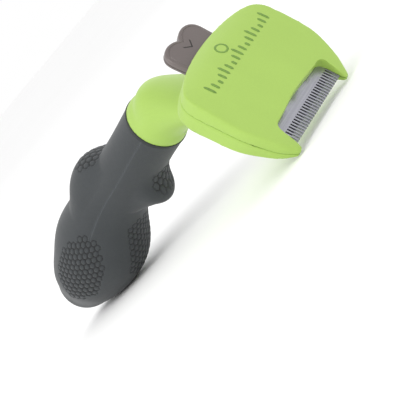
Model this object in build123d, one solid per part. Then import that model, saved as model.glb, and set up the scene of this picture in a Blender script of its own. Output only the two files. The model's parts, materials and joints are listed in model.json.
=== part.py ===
from build123d import *

import os
from math import cos, radians, sin

# ---------------------------------------------------------------------------
# Driving dimensions, millimetres.  X points from the tail to the comb, Y is lateral,
# Z is up.  The origin is the middle of the footprint; the tool rests on the belly of
# the handle and on the two guard tips beside the comb.
# ---------------------------------------------------------------------------

# Slide plane: the comb, the ejector and the thumb button all lie along one tilted plane.
# Places on it are a lateral y, a height h up the plane and a depth n ahead of it.
SLIDE_TILT = 20.0                      # degrees from vertical
SLIDE_POINT = (87.2, 0.0, 10.0)        # where the tooth roots cross the middle of the plane

# Handle: stations along the spine as (x, z, half depth, half width).
HANDLE_STATIONS = [
    (26.8, 43.2, 12.7, 12.8),
    (11.5, 40.4, 12.5, 12.7),
    (-3.2, 37.5, 13.0, 12.8),
    (-18.0, 34.9, 13.8, 13.4),
    (-32.7, 30.5, 16.5, 16.2),
    (-47.5, 24.6, 20.1, 19.2),
    (-62.5, 19.4, 18.9, 19.2),
    (-74.5, 16.5, 15.8, 16.6),
    (-83.8, 14.2, 12.2, 11.9),
    (-89.8, 13.4, 6.6, 7.0),
    (-92.0, 13.2, 1.6, 2.0),
]
GRIP_THICKNESS = 2.4
CORE_WALL = 2.4
CORE_END_STATION = 8                   # the hard core stops at this station
HOLLOW_STATIONS = slice(1, 7)          # the core is hollow between these stations

# Thumb rest on top of the handle and finger hook under it, as side profiles.
THUMB_REST = [
    (-41.0, 45.2),
    (-36.7, 47.9),
    (-31.0, 51.5),
    (-24.5, 53.7),
    (-18.0, 54.1),
    (-11.5, 52.6),
    (-4.0, 49.4),
]
THUMB_REST_FLOOR = 38.0
THUMB_REST_HALF_WIDTH = 12.0
FINGER_HOOK = [(-19.0, 22.4), (-9.0, 19.8), (-0.8, 16.7), (3.2, 19.4), (6.2, 23.8), (12.5, 28.6)]
FINGER_HOOK_CEILING = 36.0
FINGER_HOOK_HALF_WIDTH = 10.5

# Collar ring between neck and handle.
COLLAR_WIDTH = 1.4
COLLAR_PROUD = 0.3

# Neck: a round root at the collar, then stations as dorsal point, ventral point and half width.
NECK_RADIUS = 12.6
NECK_STATIONS = [
    ((34.0, 57.0), (35.1, 32.5), 12.6),
    ((41.0, 56.3), (40.0, 32.7), 12.6),
    ((47.2, 51.8), (44.8, 32.0), 12.9),
    ((52.0, 48.2), (49.4, 30.6), 13.6),
    ((57.0, 44.9), (54.0, 28.2), 15.4),
    ((62.4, 43.3), (59.8, 25.0), 19.0),
    ((68.0, 43.8), (66.6, 22.6), 24.0),
    ((73.5, 43.8), (73.2, 21.6), 28.0),
]

# Head.
FACE_CURVE = [(43.6, 2.2), (35.4, 5.4), (26.0, 6.0), (16.5, 5.5), (3.0, 4.1), (-6.5, 1.7), (-9.4, 0.6)]
BACK_CURVE = [(43.6, -5.6), (36.0, -7.6), (29.7, -7.9), (21.8, -6.9), (10.4, -6.1), (0.3, -5.0),
              (-5.9, -3.6), (-9.4, -1.2)]
SEAM_CURVE = [(45.0, 0.3), (28.0, 0.3), (17.0, 0.9), (8.0, 0.2), (1.0, -1.0), (-5.5, -1.5), (-10.0, -0.6)]
HEAD_TOP = [(0.0, 43.4), (9.0, 42.9), (20.0, 41.0), (28.4, 37.6)]
HEAD_SIDE = [(28.4, 37.6), (31.6, 33.6), (32.8, 27.0), (33.2, 17.0), (31.9, 8.3), (28.2, -1.2), (24.8, -7.2)]
HEAD_TIP = [(24.8, -7.2), (23.3, -8.7), (21.3, -7.8)]
SHOULDER_DIRECTION = (0.84, -0.54)     # of the outline where the top meets the side
GUARD_DIRECTION = (-0.5, -0.87)        # of the outline at the end of the guard
HEAD_WALL = 2.0
WIDE = 40.0                            # wider than the head, for bodies that cut
DEEP = 14.0                            # deeper than the head, for bodies that cut

CAVITY_BACK = [(43.6, -3.6), (36.0, -5.6), (29.7, -5.9), (21.8, -4.9), (10.4, -4.4), (1.0, -3.9),
               (-9.4, -3.0)]
CAVITY_LOW = 3.6
SHOULDER_SHARES = (0.65, 0.75)         # of the wall, drawn in sideways and down at the shoulder

NOTCH_HALF_WIDTH = 21.3
NOTCH_SIDE_TOP = 3.6
NOTCH_MIDDLE_TOP = 4.6
NOTCH_CORNER = 3.0
NOTCH_LOW = -20.0
BLADE_SLOT_HALF_WIDTH = 22.5
BLADE_SLOT_TOP = 12.8
REAR_NOTCH_TOP = 1.0

# Locating tabs of the front cover.
TAB_SIDES = (28.6, 29.8)
TAB_HEIGHTS = (12.0, 24.0)
TAB_DEPTHS = (-2.4, 4.2)

# Comb blade.
COMB_EDGE = 44.5
COMB_THICKNESS = 1.2
COMB_TOP = 12.5
TOOTH_LENGTH = 5.8
TOOTH_COUNT = 29
TOOTH_ROOT_SHARE = 0.5                 # tooth width over pitch, at the root
TOOTH_TIP_SHARE = 0.3                  # tooth width over pitch, at the tip

BLADE_SCREW_SIDES = (-14.0, 0.0, 14.0)
BLADE_SCREW_HEIGHT = 8.6
POST_RADIUS = 2.2
POST_FRONT = 3.4

# Ejector, behind the comb.
EJECTOR_FRONT = -1.4                   # front face of the pusher bar and the carriage
EJECTOR_BACK = -3.6
EJECTOR_CLEARANCE = 0.3
PUSHER_EDGE = -2.9                     # lower edge at rest
PUSHER_TOP = 5.8
PUSHER_HALF_WIDTH = 20.8
PUSHER_CHAMFER = 1.0
PUSHER_LAP = -2.5                      # the carriage laps the pusher bar behind this depth
PUSHER_LAP_LOW = 1.8
PUSHER_SCREW_SIDES = (-12.0, 12.0)
PUSHER_SCREW_HEIGHT = 3.8
PUSHER_SCREW_TIP = -1.6
CARRIAGE_HALF_WIDTH = 10.0
CARRIAGE_BAR_HALF_WIDTH = 17.0
CARRIAGE_BAR_TOP = 9.0
CARRIAGE_TOP = 40.0
EAR_HEIGHTS = (27.6, 30.0)
EAR_SIDES = (13.5, 20.8)
EAR_FRONT = 3.2
RAIL_SIDES = (10.4, 12.4)
RAIL_HEIGHTS = (10.0, 20.5)
RAIL_BACK = -5.4                       # sunk into the rear wall
STOP_SIDES = (14.5, 19.5)
STOP_HEIGHTS = (30.2, 32.0)
STOP_FRONT = -2.0
STOP_BACK = -6.6                       # sunk into the rear wall

# Thumb button.
BUTTON_FRONT = 0.0
BUTTON_LAP = -2.0                      # the button laps the carriage ahead of this depth
BUTTON_LAP_GAP = 0.2                   # above the top end of the carriage
BUTTON_LOW = 33.0
BUTTON_LOBE = [(0.0, 52.2), (2.6, 53.7), (6.0, 54.3), (9.2, 53.6), (11.4, 51.6), (12.1, 48.8), (11.9, 44.0)]
LOBE_DIRECTION = (0.6, 0.8)            # of the outline where the two lobes meet
BUTTON_SLOT_HALF_WIDTH = 12.5
BUTTON_SLOT_GAP = 0.4
BUTTON_SCREW_SIDES = (-6.0, 6.0)
BUTTON_SCREW_HEIGHT = 36.5
BUTTON_SCREW_TIP = -0.6

# Return springs on their pins.
SPRING_SIDE = 17.2
SPRING_DEPTH = 1.2
SPRING_RADIUS = 1.6                    # to the middle of the wire
SPRING_WIRE = 0.25                     # radius of the wire
SPRING_TURNS = 7
SHELF_HEIGHTS = (13.0, 14.6)
SHELF_BACK = -1.0
SHELF_FRONT = 4.4                      # sunk into the front wall
PIN_RADIUS = 0.9
PIN_TOP = 33.0
PIN_HOLE_RADIUS = 1.25

# Small screws of the head: countersunk flush.
SMALL_SCREW_RADIUS = 0.8
SMALL_HEAD_RADIUS = 1.5
SMALL_HEAD_HEIGHT = 0.7

# Screws and cross pins of the handle core.
CORE_SCREW_PLACES = [(-4.0, 0.0), (-30.0, 0.0), (-50.0, -8.0), (-50.0, 8.0)]
CORE_SCREW_RADIUS = 1.5
CORE_HEAD_RADIUS = 2.8
CORE_HEAD_HEIGHT = 2.0
CORE_BOSS_RADIUS = 4.0
CORE_SCREW_BITE = 8.0                  # length of the screw above the parting surface
CORE_BOSS_DROP = 8.0                   # depth of the screw head's seat below the parting surface
TANG_RADIUS = 7.0
TANG_LENGTH = 22.0
TANG_ROOT = 3.0                        # how far the tang reaches into the neck
TANG_PIN_RADIUS = 1.5
TANG_PIN_HALF_LENGTH = 9.5
TANG_PIN_STEPS = (7.0, 15.0)           # from the collar, along the tang

# Hang hole through the tail.
HANG_FLAT_X = -73.8
HANG_APEX_X = -88.6                    # before the corners are rounded
HANG_HALF_WIDTH = 8.2
HANG_CORNER = 2.4

plate = Plane(
    origin=SLIDE_POINT,
    x_dir=(0, 1, 0),
    z_dir=(cos(radians(SLIDE_TILT)), 0, sin(radians(SLIDE_TILT))),
)
side_of_plate = Plane(origin=(0, 0, 0), x_dir=(0, 1, 0), z_dir=(1, 0, 0))
side_of_tool = Plane(origin=(0, 0, 0), x_dir=(1, 0, 0), z_dir=(0, -1, 0))


# ---------------------------------------------------------------------------
# Helpers in the frame of the slide plane
# ---------------------------------------------------------------------------
def block(y_range, h_range, n_range):
    """Box from its lateral, height and depth limits."""
    limits = (y_range, h_range, n_range)
    sizes = [high - low for low, high in limits]
    middle = [(high + low) / 2 for low, high in limits]
    return Pos(*middle) * Box(*sizes)


def on_side(side, near_and_far):
    """Lateral limits on one side of the middle, lowest first."""
    return sorted(side * value for value in near_and_far)


def rod(radius, y, n, low, high):
    """Cylinder along the slide direction."""
    return Pos(y, (low + high) / 2, n) * Rot(90, 0, 0) * Cylinder(radius, high - low)


def stud(radius, y, h, back, front):
    """Cylinder square to the slide plane."""
    return Pos(y, h, (back + front) / 2) * Cylinder(radius, front - back)


def flush_screw(y, h, head_face, tip):
    """Countersunk screw square to the slide plane, its head towards the back."""
    neck = head_face + SMALL_HEAD_HEIGHT
    cone = Cone(SMALL_HEAD_RADIUS, SMALL_SCREW_RADIUS, SMALL_HEAD_HEIGHT)
    return Pos(y, h, (head_face + neck) / 2) * cone + stud(SMALL_SCREW_RADIUS, y, h, neck, tip)


def curve_prism(front_points, back_points, half_width=WIDE):
    """Body between a front and a back curve, each given as height and depth from top to bottom."""
    curves = [
        Spline(*front_points),
        Spline(*back_points),
        Line(front_points[0], back_points[0]),
        Line(front_points[-1], back_points[-1]),
    ]
    return extrude(side_of_plate * make_face(curves), amount=half_width, both=True)


def mirrored_face(half_curves):
    """Face from the curves of its right half and their mirror images."""
    left_curves = [mirror(curve, about=Plane.YZ) for curve in half_curves]
    return make_face(half_curves + left_curves)


def through(face):
    """Prism square to the slide plane, through the whole depth of the head."""
    return extrude(Pos(0, 0, -DEEP) * face, amount=2 * DEEP)


# ---------------------------------------------------------------------------
# Head
# ---------------------------------------------------------------------------
def head_outline():
    """Outline of the head seen square to the slide plane, without the notch."""
    tip_inner = HEAD_TIP[-1]
    return mirrored_face([
        Spline(*HEAD_TOP, tangents=[(1, 0), SHOULDER_DIRECTION]),
        Spline(*HEAD_SIDE, tangents=[SHOULDER_DIRECTION, GUARD_DIRECTION]),
        ThreePointArc(*HEAD_TIP),
        Line(tip_inner, (0, tip_inner[1])),
    ])


def head_envelope():
    """Outer shape of the whole head before it is split into rear shell and front cover."""
    return through(head_outline()) & curve_prism(FACE_CURVE, BACK_CURVE)


def cavity_outline():
    """Outline of the head drawn in by the wall, down to the guard legs."""
    shoulder_y, shoulder_h = HEAD_TOP[-1]
    side_share, down_share = SHOULDER_SHARES
    corner = (shoulder_y - side_share * HEAD_WALL, shoulder_h - down_share * HEAD_WALL)
    top = [(y, h - HEAD_WALL) for y, h in HEAD_TOP[:-1]] + [corner]
    side = [corner] + [(y - HEAD_WALL, h) for y, h in HEAD_SIDE[1:-1]]
    low = side[-1]
    return mirrored_face([
        Spline(*top, tangents=[(1, 0), SHOULDER_DIRECTION]),
        Spline(*side, tangents=[SHOULDER_DIRECTION, GUARD_DIRECTION]),
        Line(low, (0, low[1])),
    ])


def head_cavity():
    """Hollow of the head, above the guard legs."""
    outline = cavity_outline()
    front = [(h, n - HEAD_WALL) for h, n in FACE_CURVE]
    hollow = through(outline) & curve_prism(front, CAVITY_BACK)
    return hollow & block((-WIDE, WIDE), (CAVITY_LOW, 2 * WIDE), (-DEEP, DEEP))


def front_notch():
    """Opening of the front cover in which the comb shows."""
    corner_start = (NOTCH_HALF_WIDTH - NOTCH_CORNER, NOTCH_SIDE_TOP)
    corner_end = (NOTCH_HALF_WIDTH, NOTCH_SIDE_TOP - NOTCH_CORNER)
    outline = mirrored_face([
        Spline((0, NOTCH_MIDDLE_TOP), corner_start, tangents=[(1, 0), (1, 0)]),
        RadiusArc(corner_start, corner_end, -NOTCH_CORNER),
        Line(corner_end, (NOTCH_HALF_WIDTH, NOTCH_LOW)),
        Line((NOTCH_HALF_WIDTH, NOTCH_LOW), (0, NOTCH_LOW)),
    ])
    return through(outline)


def blade_slot():
    """Space for the comb and for the pusher bar behind it."""
    return block(
        (-BLADE_SLOT_HALF_WIDTH, BLADE_SLOT_HALF_WIDTH),
        (NOTCH_LOW, BLADE_SLOT_TOP),
        (EJECTOR_BACK - EJECTOR_CLEARANCE, 0.0),
    )


def rear_notch():
    """Opening of the rear shell below its lower edge, between the guard legs."""
    return block((-BLADE_SLOT_HALF_WIDTH, BLADE_SLOT_HALF_WIDTH), (NOTCH_LOW, REAR_NOTCH_TOP), (-DEEP, 0.0))


def button_slot():
    """Slot in the top of the head through which the thumb button slides."""
    return block(
        (-BUTTON_SLOT_HALF_WIDTH, BUTTON_SLOT_HALF_WIDTH),
        (BUTTON_LOW, 2 * WIDE),
        (EJECTOR_BACK - BUTTON_SLOT_GAP, BUTTON_FRONT + BUTTON_SLOT_GAP),
    )


def seam_front():
    """Everything ahead of the seam between the rear shell and the front cover."""
    far_ahead = [(h, DEEP) for h, _ in (SEAM_CURVE[0], SEAM_CURVE[3], SEAM_CURVE[-1])]
    return curve_prism(far_ahead, SEAM_CURVE)


def seam_back():
    """Everything behind the seam between the rear shell and the front cover."""
    far_behind = [(h, -DEEP) for h, _ in (SEAM_CURVE[0], SEAM_CURVE[3], SEAM_CURVE[-1])]
    return curve_prism(SEAM_CURVE, far_behind)


def head_front_cover():
    """Front cover with comb posts, spring shelves and locating tabs."""
    cover = (head_envelope() & seam_front()) - head_cavity() - blade_slot() - button_slot()
    for y in BLADE_SCREW_SIDES:
        cover += stud(POST_RADIUS, y, BLADE_SCREW_HEIGHT, 0, POST_FRONT)
        cover -= stud(SMALL_SCREW_RADIUS, y, BLADE_SCREW_HEIGHT, 0, POST_FRONT)
    for side in (-1, 1):
        cover += block(on_side(side, EAR_SIDES), SHELF_HEIGHTS, (SHELF_BACK, SHELF_FRONT))
        cover += block(on_side(side, TAB_SIDES), TAB_HEIGHTS, TAB_DEPTHS)
        cover -= rod(PIN_RADIUS, side * SPRING_SIDE, SPRING_DEPTH, *SHELF_HEIGHTS)
    return plate * (cover - front_notch())


def neck():
    """Swan neck from the collar to the back of the head."""
    sections = [tang_frame() * Pos(0, 0, -COLLAR_WIDTH) * Circle(NECK_RADIUS)]
    for dorsal, ventral, half_width in NECK_STATIONS:
        top = Vector(dorsal[0], 0, dorsal[1])
        low = Vector(ventral[0], 0, ventral[1])
        across = top - low
        station = Plane(origin=(top + low) / 2, x_dir=(0, 1, 0), z_dir=across.cross(Vector(0, -1, 0)))
        sections.append(station * Ellipse(half_width, across.length / 2))
    return loft(sections)


def tang_frame():
    """Frame at the collar, its local Z pointing into the handle."""
    return spine_planes(HANDLE_STATIONS)[0]


def tang(start):
    """Round tang from a given distance past the collar to its end inside the core."""
    length = TANG_LENGTH - start
    return tang_frame() * Pos(0, 0, start + length / 2) * Cylinder(TANG_RADIUS, length)


def head_body():
    """Rear shell of the head, in one moulding with the neck and its tang."""
    shell = head_envelope() & seam_back()
    hollow = head_cavity() + blade_slot() + button_slot() + rear_notch()
    body = plate * shell + neck()
    body -= plate * hollow
    for side in (-1, 1):
        body += plate * block(on_side(side, RAIL_SIDES), RAIL_HEIGHTS, (RAIL_BACK, EJECTOR_FRONT))
        body += plate * block(on_side(side, STOP_SIDES), STOP_HEIGHTS, (STOP_BACK, STOP_FRONT))
    body += tang(-COLLAR_WIDTH - TANG_ROOT)
    for step in TANG_PIN_STEPS:
        body -= tang_pin(step)
    return body


def comb_blade():
    """Flat comb: one outline with tapered teeth, screw holes countersunk from behind."""
    pitch = COMB_EDGE / TOOTH_COUNT
    root = pitch * TOOTH_ROOT_SHARE / 2
    tip = pitch * TOOTH_TIP_SHARE / 2
    outline = [(COMB_EDGE / 2, COMB_TOP), (-COMB_EDGE / 2, COMB_TOP)]
    outline.append((-COMB_EDGE / 2, 0))
    for index in range(TOOTH_COUNT):
        middle = (index + 0.5) * pitch - COMB_EDGE / 2
        outline += [
            (middle - root, 0),
            (middle - tip, -TOOTH_LENGTH),
            (middle + tip, -TOOTH_LENGTH),
            (middle + root, 0),
        ]
    outline.append((COMB_EDGE / 2, 0))
    back_face = Pos(0, 0, -COMB_THICKNESS) * make_face(Polyline(*outline, close=True))
    blade = extrude(back_face, amount=COMB_THICKNESS)
    for y in BLADE_SCREW_SIDES:
        blade -= flush_screw(y, BLADE_SCREW_HEIGHT, -COMB_THICKNESS, POST_FRONT)
    return plate * blade


def blade_screws():
    """Three screws that hold the comb to the posts of the front cover."""
    screws = [flush_screw(y, BLADE_SCREW_HEIGHT, -COMB_THICKNESS, POST_FRONT) for y in BLADE_SCREW_SIDES]
    return [plate * screw for screw in screws]


# ---------------------------------------------------------------------------
# Ejector
# ---------------------------------------------------------------------------
def pusher_screws():
    """Two screws from the carriage into the pusher bar."""
    return [flush_screw(y, PUSHER_SCREW_HEIGHT, EJECTOR_BACK, PUSHER_SCREW_TIP) for y in PUSHER_SCREW_SIDES]


def button_screws():
    """Two screws from the carriage into the thumb button."""
    return [flush_screw(y, BUTTON_SCREW_HEIGHT, EJECTOR_BACK, BUTTON_SCREW_TIP) for y in BUTTON_SCREW_SIDES]


def pusher_bar():
    """Bar behind the comb, thinned at the top where the carriage laps it."""
    width = (-PUSHER_HALF_WIDTH, PUSHER_HALF_WIDTH)
    bar = block(width, (PUSHER_EDGE, PUSHER_TOP), (EJECTOR_BACK, EJECTOR_FRONT))
    bar -= block(width, (PUSHER_LAP_LOW, PUSHER_TOP), (EJECTOR_BACK, PUSHER_LAP))
    lower_back_edge = bar.edges().filter_by(Axis.X).sort_by(Axis.Y)[:2].sort_by(Axis.Z)[0]
    bar = chamfer(lower_back_edge, PUSHER_CHAMFER)
    for screw in pusher_screws():
        bar -= screw
    return plate * bar


def ejector_carriage():
    """Sliding plate between the button and the pusher bar, with an ear over each spring."""
    strip = (-CARRIAGE_HALF_WIDTH, CARRIAGE_HALF_WIDTH)
    bar = (-CARRIAGE_BAR_HALF_WIDTH, CARRIAGE_BAR_HALF_WIDTH)
    body = block(strip, (CARRIAGE_BAR_TOP, CARRIAGE_TOP), (EJECTOR_BACK, EJECTOR_FRONT))
    body -= block(strip, (BUTTON_LOW, CARRIAGE_TOP), (BUTTON_LAP, EJECTOR_FRONT))
    body += block(bar, (PUSHER_TOP, CARRIAGE_BAR_TOP), (EJECTOR_BACK, EJECTOR_FRONT))
    body += block(bar, (PUSHER_LAP_LOW, PUSHER_TOP), (EJECTOR_BACK, PUSHER_LAP))
    body += block((-EAR_SIDES[1], EAR_SIDES[1]), EAR_HEIGHTS, (EJECTOR_BACK, EJECTOR_FRONT))
    for side in (-1, 1):
        body += block(on_side(side, EAR_SIDES), EAR_HEIGHTS, (EJECTOR_BACK, EAR_FRONT))
        body -= rod(PIN_HOLE_RADIUS, side * SPRING_SIDE, SPRING_DEPTH, *EAR_HEIGHTS)
    for screw in pusher_screws() + button_screws():
        body -= screw
    return plate * body


def ejector_button():
    """Two-lobed thumb button, with a lap at its lower end for the carriage."""
    side_end = BUTTON_LOBE[-1]
    outline = mirrored_face([
        Spline(*BUTTON_LOBE, tangents=[LOBE_DIRECTION, (0, -1)]),
        Line(side_end, (side_end[0], BUTTON_LOW)),
        Line((side_end[0], BUTTON_LOW), (0, BUTTON_LOW)),
    ])
    button = extrude(Pos(0, 0, EJECTOR_BACK) * outline, amount=BUTTON_FRONT - EJECTOR_BACK)
    button -= block((-WIDE, WIDE), (BUTTON_LOW, CARRIAGE_TOP + BUTTON_LAP_GAP), (EJECTOR_BACK, BUTTON_LAP))
    for screw in button_screws():
        button -= screw
    return plate * button


def ejector_spring(side):
    """Coil spring between the shelf of the front cover and the ear of the carriage."""
    low = SHELF_HEIGHTS[1] + SPRING_WIRE
    length = EAR_HEIGHTS[0] - SPRING_WIRE - low
    helix = Helix(pitch=length / SPRING_TURNS, height=length, radius=SPRING_RADIUS)
    start = Plane(origin=helix @ 0, z_dir=helix % 0)
    coil = sweep(start * Circle(SPRING_WIRE), path=helix, is_frenet=True)
    return plate * Pos(side * SPRING_SIDE, low, SPRING_DEPTH) * Rot(-90, 0, 0) * coil


def spring_guide_pin(side):
    """Pin pressed into the shelf; the spring and the ear slide round it."""
    return plate * rod(PIN_RADIUS, side * SPRING_SIDE, SPRING_DEPTH, SHELF_HEIGHTS[0], PIN_TOP)


# ---------------------------------------------------------------------------
# Handle
# ---------------------------------------------------------------------------
def spine_planes(stations):
    """Planes square to the spine at each station, facing the tail."""
    planes = []
    for index, (x, z, _, _) in enumerate(stations):
        before = stations[max(index - 1, 0)]
        after = stations[min(index + 1, len(stations) - 1)]
        toward_tail = (after[0] - before[0], 0, after[1] - before[1])
        planes.append(Plane(origin=(x, 0, z), x_dir=(0, 1, 0), z_dir=toward_tail))
    return planes


def handle_loft(inset, stations=slice(None)):
    """Smooth body through elliptical stations, drawn in by the inset."""
    sections = []
    for plane, (_, _, depth, width) in list(zip(spine_planes(HANDLE_STATIONS), HANDLE_STATIONS))[stations]:
        sections.append(plane * Ellipse(width - inset, depth - inset))
    return loft(sections)


def above_spine():
    """Everything above the surface that parts the upper half of the handle from the lower."""
    spine = [(x, z) for x, z, _, _ in HANDLE_STATIONS]
    first, last = spine[0], spine[-1]
    far_front = (first[0] + WIDE, first[1] + (first[1] - spine[1][1]) / (first[0] - spine[1][0]) * WIDE)
    far_back = (last[0] - WIDE, last[1])
    sky = 3 * WIDE
    outline = make_face([
        Line(far_front, first),
        Spline(*spine),
        Line(last, far_back),
        Line(far_back, (far_back[0], sky)),
        Line((far_back[0], sky), (far_front[0], sky)),
        Line((far_front[0], sky), far_front),
    ])
    return extrude(side_of_tool * outline, amount=WIDE, both=True)


def hang_prism():
    """Rounded triangular prism through the tail, flat side towards the head."""
    triangle = Polyline(
        (HANG_FLAT_X, HANG_HALF_WIDTH),
        (HANG_FLAT_X, -HANG_HALF_WIDTH),
        (HANG_APEX_X, 0),
        close=True,
    )
    face = make_face(triangle)
    face = fillet(face.vertices(), HANG_CORNER)
    return extrude(Pos(0, 0, -WIDE) * face, amount=3 * WIDE)


def feature(profile, closing_z, half_width):
    """Raised rib of the grip: a smooth side profile, rounded across like an ellipse."""
    first, last = profile[0], profile[-1]
    outline = make_face([
        Spline(*profile),
        Line(last, (last[0], closing_z)),
        Line((last[0], closing_z), (first[0], closing_z)),
        Line((first[0], closing_z), first),
    ])
    rib = extrude(side_of_tool * outline, amount=half_width, both=True)
    reach = max(abs(z - closing_z) for _, z in profile)
    tunnel = Plane.YZ * Pos(0, closing_z) * Ellipse(half_width, reach)
    return rib & extrude(tunnel, amount=2 * WIDE, both=True)


def tang_pin(step):
    """Cross pin through the core and the tang, a given step from the collar."""
    pin = Rot(0, 90, 0) * Cylinder(TANG_PIN_RADIUS, 2 * TANG_PIN_HALF_LENGTH)
    return tang_frame() * Pos(0, 0, step) * pin


def spine_height(x):
    """Height of the spine at a place along the handle."""
    for near, far in zip(HANDLE_STATIONS, HANDLE_STATIONS[1:]):
        if far[0] <= x <= near[0]:
            share = (near[0] - x) / (near[0] - far[0])
            return near[1] + share * (far[1] - near[1])
    raise ValueError("the place is off the handle")


def core_screw(x, y):
    """Screw up through the lower core half into a boss of the upper one."""
    z = spine_height(x)
    low = z - CORE_BOSS_DROP
    head = Pos(x, y, low + CORE_HEAD_HEIGHT / 2) * Cylinder(CORE_HEAD_RADIUS, CORE_HEAD_HEIGHT)
    shank_low = low + CORE_HEAD_HEIGHT
    shank_high = z + CORE_SCREW_BITE
    shank = Pos(x, y, (shank_low + shank_high) / 2) * Cylinder(CORE_SCREW_RADIUS, shank_high - shank_low)
    return head + shank


def core_outer():
    """Outside of the closed core."""
    return handle_loft(GRIP_THICKNESS, slice(0, CORE_END_STATION + 1))


def core_whole():
    """Both core halves together: a shell with screw bosses, a tang socket and a solid tail."""
    outer = core_outer()
    hollow = handle_loft(GRIP_THICKNESS + CORE_WALL, HOLLOW_STATIONS)
    for x, y in CORE_SCREW_PLACES:
        hollow -= Pos(x, y, spine_height(x)) * Cylinder(CORE_BOSS_RADIUS, 2 * WIDE)
    core = outer - hollow - hang_prism()
    core -= tang(0)
    for step in TANG_PIN_STEPS:
        core -= tang_pin(step)
    for x, y in CORE_SCREW_PLACES:
        core -= core_screw(x, y)
        seat_top = spine_height(x) - CORE_BOSS_DROP
        core -= Pos(x, y, seat_top - WIDE / 2) * Cylinder(CORE_HEAD_RADIUS, WIDE)
    return core


def collar_ring():
    """Ring between the root of the neck and the end of the handle."""
    ring = Circle(NECK_RADIUS + COLLAR_PROUD) - Circle(TANG_RADIUS)
    return extrude(tang_frame() * ring, amount=-COLLAR_WIDTH)


def grip_whole():
    """Both grip halves together: a soft skin over the core with its thumb rest and finger hook."""
    skin = handle_loft(0)
    skin += feature(THUMB_REST, THUMB_REST_FLOOR, THUMB_REST_HALF_WIDTH)
    skin += feature(FINGER_HOOK, FINGER_HOOK_CEILING, FINGER_HOOK_HALF_WIDTH)
    return skin - core_outer() - hang_prism()


# ---------------------------------------------------------------------------
# Nodes
# ---------------------------------------------------------------------------
def write_nodes():
    """Build every sub-part and write one STEP file for each."""
    core = core_whole()
    grip = grip_whole()
    upper = above_spine()
    nodes = {
        "head_body": head_body(),
        "head_front_cover": head_front_cover(),
        "comb_blade": comb_blade(),
        "blade_screws": Compound(children=blade_screws()),
        "pusher_bar": pusher_bar(),
        "pusher_screws": Compound(children=[plate * screw for screw in pusher_screws()]),
        "ejector_carriage": ejector_carriage(),
        "ejector_button": ejector_button(),
        "button_screws": Compound(children=[plate * screw for screw in button_screws()]),
        "ejector_spring_left": ejector_spring(1),
        "ejector_spring_right": ejector_spring(-1),
        "spring_guide_pin_left": spring_guide_pin(1),
        "spring_guide_pin_right": spring_guide_pin(-1),
        "collar_ring": collar_ring(),
        "handle_core_upper": core & upper,
        "handle_core_lower": core - upper,
        "core_screws": Compound(children=[core_screw(x, y) for x, y in CORE_SCREW_PLACES]),
        "tang_pins": Compound(children=[tang_pin(step) for step in TANG_PIN_STEPS]),
        "grip_upper": grip & upper,
        "grip_lower": grip - upper,
    }
    boxes = [shape.bounding_box() for shape in nodes.values()]
    tail_end = min(box.min.X for box in boxes)
    head_end = max(box.max.X for box in boxes)
    underside = min(box.min.Z for box in boxes)
    to_footprint_middle = Pos(-(tail_end + head_end) / 2, 0, -underside)
    os.makedirs("parts", exist_ok=True)
    for name, shape in nodes.items():
        export_step(to_footprint_middle * shape, f"parts/{name}.step")


write_nodes()
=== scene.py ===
import json
import math

import bmesh
import bpy
import numpy as np
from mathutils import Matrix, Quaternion, Vector


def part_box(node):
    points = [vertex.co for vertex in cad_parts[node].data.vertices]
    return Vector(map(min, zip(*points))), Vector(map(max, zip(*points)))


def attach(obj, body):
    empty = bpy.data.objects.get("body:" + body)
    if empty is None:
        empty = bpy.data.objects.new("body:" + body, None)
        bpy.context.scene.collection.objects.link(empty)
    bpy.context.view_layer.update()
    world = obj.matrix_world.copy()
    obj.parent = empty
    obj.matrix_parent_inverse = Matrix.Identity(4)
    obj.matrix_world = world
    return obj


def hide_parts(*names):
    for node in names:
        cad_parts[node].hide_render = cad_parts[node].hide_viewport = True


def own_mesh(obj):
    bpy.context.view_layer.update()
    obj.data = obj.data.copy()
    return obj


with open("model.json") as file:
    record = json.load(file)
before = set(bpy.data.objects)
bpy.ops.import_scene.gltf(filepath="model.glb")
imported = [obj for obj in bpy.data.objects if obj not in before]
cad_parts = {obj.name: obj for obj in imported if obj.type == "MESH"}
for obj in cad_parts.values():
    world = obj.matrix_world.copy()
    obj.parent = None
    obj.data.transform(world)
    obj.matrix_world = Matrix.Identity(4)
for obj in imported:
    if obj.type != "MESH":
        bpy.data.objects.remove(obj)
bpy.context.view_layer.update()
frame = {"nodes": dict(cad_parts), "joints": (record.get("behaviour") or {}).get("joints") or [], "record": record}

MM = 0.001

# ---------------------------------------------------------------------------
# The slide plane, taken from the frame: the comb, the ejector and the head lie along it.
# A place on it is a lateral y, a height h up the plane and a depth n ahead of it, in mm.
# ---------------------------------------------------------------------------
COMB_THICKNESS = 1.2
TOOTH_LENGTH = 5.8
COMB_LOW, COMB_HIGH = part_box("comb_blade")
SLIDE = next(joint for joint in frame["joints"] if joint["name"] == "ejector_slide")
DOWN = Vector(SLIDE["axis"]).normalized()
UP = -DOWN
LATERAL = Vector((0, 1, 0))
AHEAD = LATERAL.cross(UP).normalized()
ORIGIN = Vector((
    COMB_HIGH[0] - TOOTH_LENGTH * MM * DOWN.x,
    0,
    COMB_LOW[2] + TOOTH_LENGTH * MM * UP.z + COMB_THICKNESS * MM * AHEAD.z,
))
PLANE_ROWS = np.array([LATERAL, UP, AHEAD])


def on_plane(y, h, n):
    """Place in the frame of a point given on the slide plane."""
    return ORIGIN + (LATERAL * y + UP * h + AHEAD * n) * MM


def plane_coordinates(points):
    """Lateral, height and depth in mm of an array of places."""
    return (points - np.array(ORIGIN)) @ PLANE_ROWS.T / MM


# The face's side curve as (h, n), as the CAD model has it.
FACE_CURVE = [(43.6, 2.2), (35.4, 5.4), (26.0, 6.0), (16.5, 5.5), (3.0, 4.1), (-6.5, 1.7), (-9.4, 0.6)]

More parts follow.
